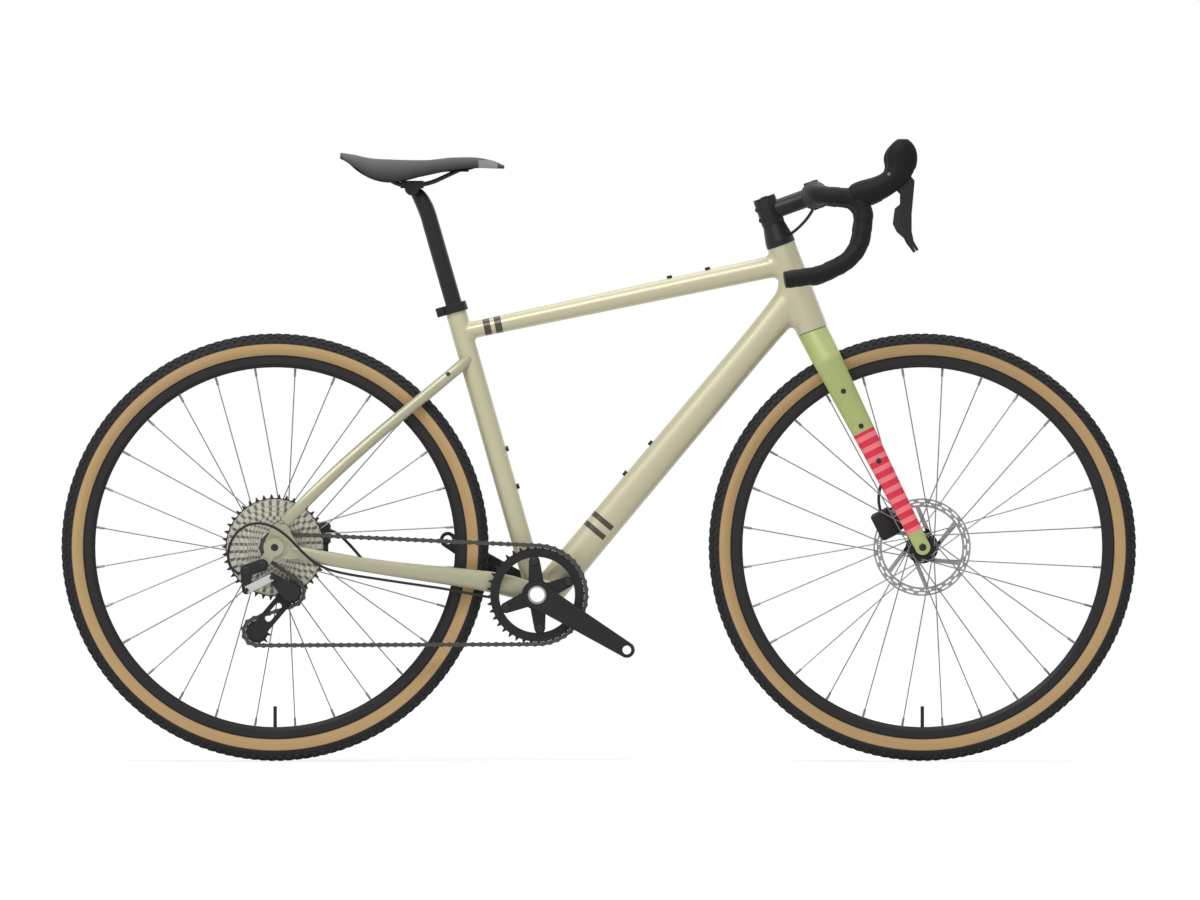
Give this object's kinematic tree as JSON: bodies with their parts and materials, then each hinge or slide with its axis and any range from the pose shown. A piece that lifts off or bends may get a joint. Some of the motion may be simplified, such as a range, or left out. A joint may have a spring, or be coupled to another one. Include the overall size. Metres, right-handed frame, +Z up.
{
  "type": "gravel bike",
  "caption": "Gravel bike with pale sage frame and green fork, drop bar, disc brakes, single chainring, wide cassette, tan-wall knobbly tyres and no pedals",
  "frame": {"origin": "ground point midway between the tyre contacts, on the centre plane", "axes": "+X points the way the bike rides, +Y to the rider's left, +Z up"},
  "size_m": [1.7639, 0.4918, 1.0185],
  "materials": {
    "frame_paint": "satin",
    "fork_paint": "satin",
    "black_alloy": "satin",
    "rim_alloy": "satin",
    "silver_steel": "satin",
    "cog_plate": "polished",
    "tyre_rubber": "matte",
    "soft_rubber": "matte",
    "bar_wrap": "matte",
    "saddle_skin": "matte",
    "black_plastic": "matte"
  },
  "bodies": {
    "frame": {"head_tube": "frame_paint", "headset_bearings": "silver_steel", "bb_shell": "frame_paint", "seat_tube": "frame_paint", "top_tube": "frame_paint", "down_tube": "frame_paint", "seat_collar": "black_alloy", "rear_dropouts": "frame_paint", "seatstays": "frame_paint", "chainstays": "frame_paint", "bottom_bracket": "black_alloy", "frame_bolts": "black_alloy", "rear_axle": "black_alloy", "rear_caliper": "black_alloy", "frame_hoses": "soft_rubber", "derailleur_body": "black_alloy", "chain": "silver_steel"},
    "seatpost": {"seatpost": "black_alloy"},
    "saddle": {"seat_clamp": "black_alloy", "saddle_rails": "black_alloy", "saddle_shell": "black_plastic", "saddle_cover": "saddle_skin"},
    "steering": {"fork": "fork_paint", "front_axle": "black_alloy", "headset_cover": "black_alloy", "stem": "black_alloy", "stem_faceplate": "black_alloy", "stem_bolts": "black_alloy", "handlebar": "black_alloy", "bar_tape": "bar_wrap", "hood_right": "soft_rubber", "hood_left": "soft_rubber", "front_caliper": "black_alloy", "front_hoses": "soft_rubber"},
    "brake_lever_right": {"brake_lever_right": "black_alloy"},
    "brake_lever_left": {"brake_lever_left": "black_alloy"},
    "shift_paddle": {"shift_paddle": "black_plastic"},
    "front_wheel": {"front_tyre": "tyre_rubber", "front_rim": "rim_alloy", "front_spokes": "silver_steel", "front_hub": "black_alloy", "front_rotor": "silver_steel"},
    "rear_wheel": {"rear_tyre": "tyre_rubber", "rear_rim": "rim_alloy", "rear_spokes": "silver_steel", "rear_hub": "black_alloy", "rear_rotor": "silver_steel"},
    "cassette": {"cassette": "cog_plate", "freehub_body": "silver_steel"},
    "crank": {"crank_arm_right": "black_alloy", "crank_arm_left": "black_alloy", "crank_spindle": "silver_steel", "chainring": "black_alloy"},
    "derailleur_cage": {"derailleur_cage": "black_alloy"},
    "guide_pulley": {"guide_pulley": "black_plastic"},
    "tension_pulley": {"tension_pulley": "black_plastic"},
    "rear_pad_outer": {"rear_pad_outer": "silver_steel"},
    "rear_pad_inner": {"rear_pad_inner": "silver_steel"},
    "front_pad_outer": {"front_pad_outer": "silver_steel"},
    "front_pad_inner": {"front_pad_inner": "silver_steel"}
  },
  "joints": [
    {"name": "steering_turn", "type": "hinge", "parent": "frame", "child": "steering", "pos_m": [0.29974, 0, 0.84605], "axis": [-0.342, 0, 0.9397], "range_deg": [-60, 60]},
    {"name": "front_wheel_spin", "type": "hinge", "parent": "steering", "child": "front_wheel", "pos_m": [0.531, 0, 0.351], "axis": [0, 1, 0], "continuous": true},
    {"name": "rear_wheel_spin", "type": "hinge", "parent": "frame", "child": "rear_wheel", "pos_m": [-0.531, 0, 0.351], "axis": [0, 1, 0], "continuous": true},
    {"name": "crank_spin", "type": "hinge", "parent": "frame", "child": "crank", "pos_m": [-0.10102, 0, 0.273], "axis": [0, 1, 0], "continuous": true, "deforming": ["chain"]},
    {"name": "cassette_spin", "type": "hinge", "parent": "frame", "child": "cassette", "pos_m": [-0.531, 0, 0.351], "axis": [0, 1, 0], "continuous": true, "deforming": ["chain"]},
    {"name": "cage_swing", "type": "hinge", "parent": "frame", "child": "derailleur_cage", "pos_m": [-0.505, -0.062, 0.2775], "axis": [0, -1, 0], "range_deg": [0, 40], "stiffness_Nm_per_rad": 0.5, "springref_deg": -22.92, "deforming": ["chain"]},
    {"name": "guide_pulley_spin", "type": "hinge", "parent": "derailleur_cage", "child": "guide_pulley", "pos_m": [-0.505, -0.062, 0.2775], "axis": [0, 1, 0], "continuous": true, "deforming": ["chain"]},
    {"name": "tension_pulley_spin", "type": "hinge", "parent": "derailleur_cage", "child": "tension_pulley", "pos_m": [-0.56005, -0.062, 0.21273], "axis": [0, 1, 0], "continuous": true, "deforming": ["chain"]},
    {"name": "brake_lever_right_pull", "type": "hinge", "parent": "steering", "child": "brake_lever_right", "pos_m": [0.4798, -0.206, 0.95751], "axis": [0, 1, 0], "range_deg": [0, 20], "stiffness_Nm_per_rad": 1, "springref_deg": -11.46},
    {"name": "brake_lever_left_pull", "type": "hinge", "parent": "steering", "child": "brake_lever_left", "pos_m": [0.4798, 0.206, 0.95751], "axis": [0, 1, 0], "range_deg": [0, 20], "stiffness_Nm_per_rad": 1, "springref_deg": -11.46},
    {"name": "shift_paddle_push", "type": "hinge", "parent": "brake_lever_right", "child": "shift_paddle", "pos_m": [0.49648, -0.206, 0.90711], "axis": [1, 0, 0], "range_deg": [0, 15], "stiffness_Nm_per_rad": 0.3, "springref_deg": -11.46},
    {"name": "seatpost_height", "type": "slide", "parent": "frame", "child": "seatpost", "axis": [-0.2756, 0, 0.9613], "range_m": [-0.06, 0.03]},
    {"name": "saddle_tilt", "type": "hinge", "parent": "seatpost", "child": "saddle", "pos_m": [-0.30631, 0, 0.94011], "axis": [0, 1, 0], "range_deg": [-10, 10]},
    {"name": "rear_pad_outer_squeeze", "type": "slide", "parent": "frame", "child": "rear_pad_outer", "axis": [0, -1, 0], "range_m": [0, 0.00025]},
    {"name": "rear_pad_inner_squeeze", "type": "slide", "parent": "frame", "child": "rear_pad_inner", "axis": [0, 1, 0], "range_m": [0, 0.00025]},
    {"name": "front_pad_outer_squeeze", "type": "slide", "parent": "steering", "child": "front_pad_outer", "axis": [0, -1, 0], "range_m": [0, 0.00025]},
    {"name": "front_pad_inner_squeeze", "type": "slide", "parent": "steering", "child": "front_pad_inner", "axis": [0, 1, 0], "range_m": [0, 0.00025]}
  ],
  "couplings": [
    {"joint": "cassette_spin", "follows": "crank_spin", "ratio": 3.6364},
    {"joint": "guide_pulley_spin", "follows": "crank_spin", "ratio": -3.6364},
    {"joint": "tension_pulley_spin", "follows": "crank_spin", "ratio": 3.6364},
    {"joint": "rear_pad_outer_squeeze", "follows": "brake_lever_right_pull", "m_per_rad": 0.0007},
    {"joint": "rear_pad_inner_squeeze", "follows": "brake_lever_right_pull", "m_per_rad": 0.0007},
    {"joint": "front_pad_outer_squeeze", "follows": "brake_lever_left_pull", "m_per_rad": 0.0007},
    {"joint": "front_pad_inner_squeeze", "follows": "brake_lever_left_pull", "m_per_rad": 0.0007}
  ]
}
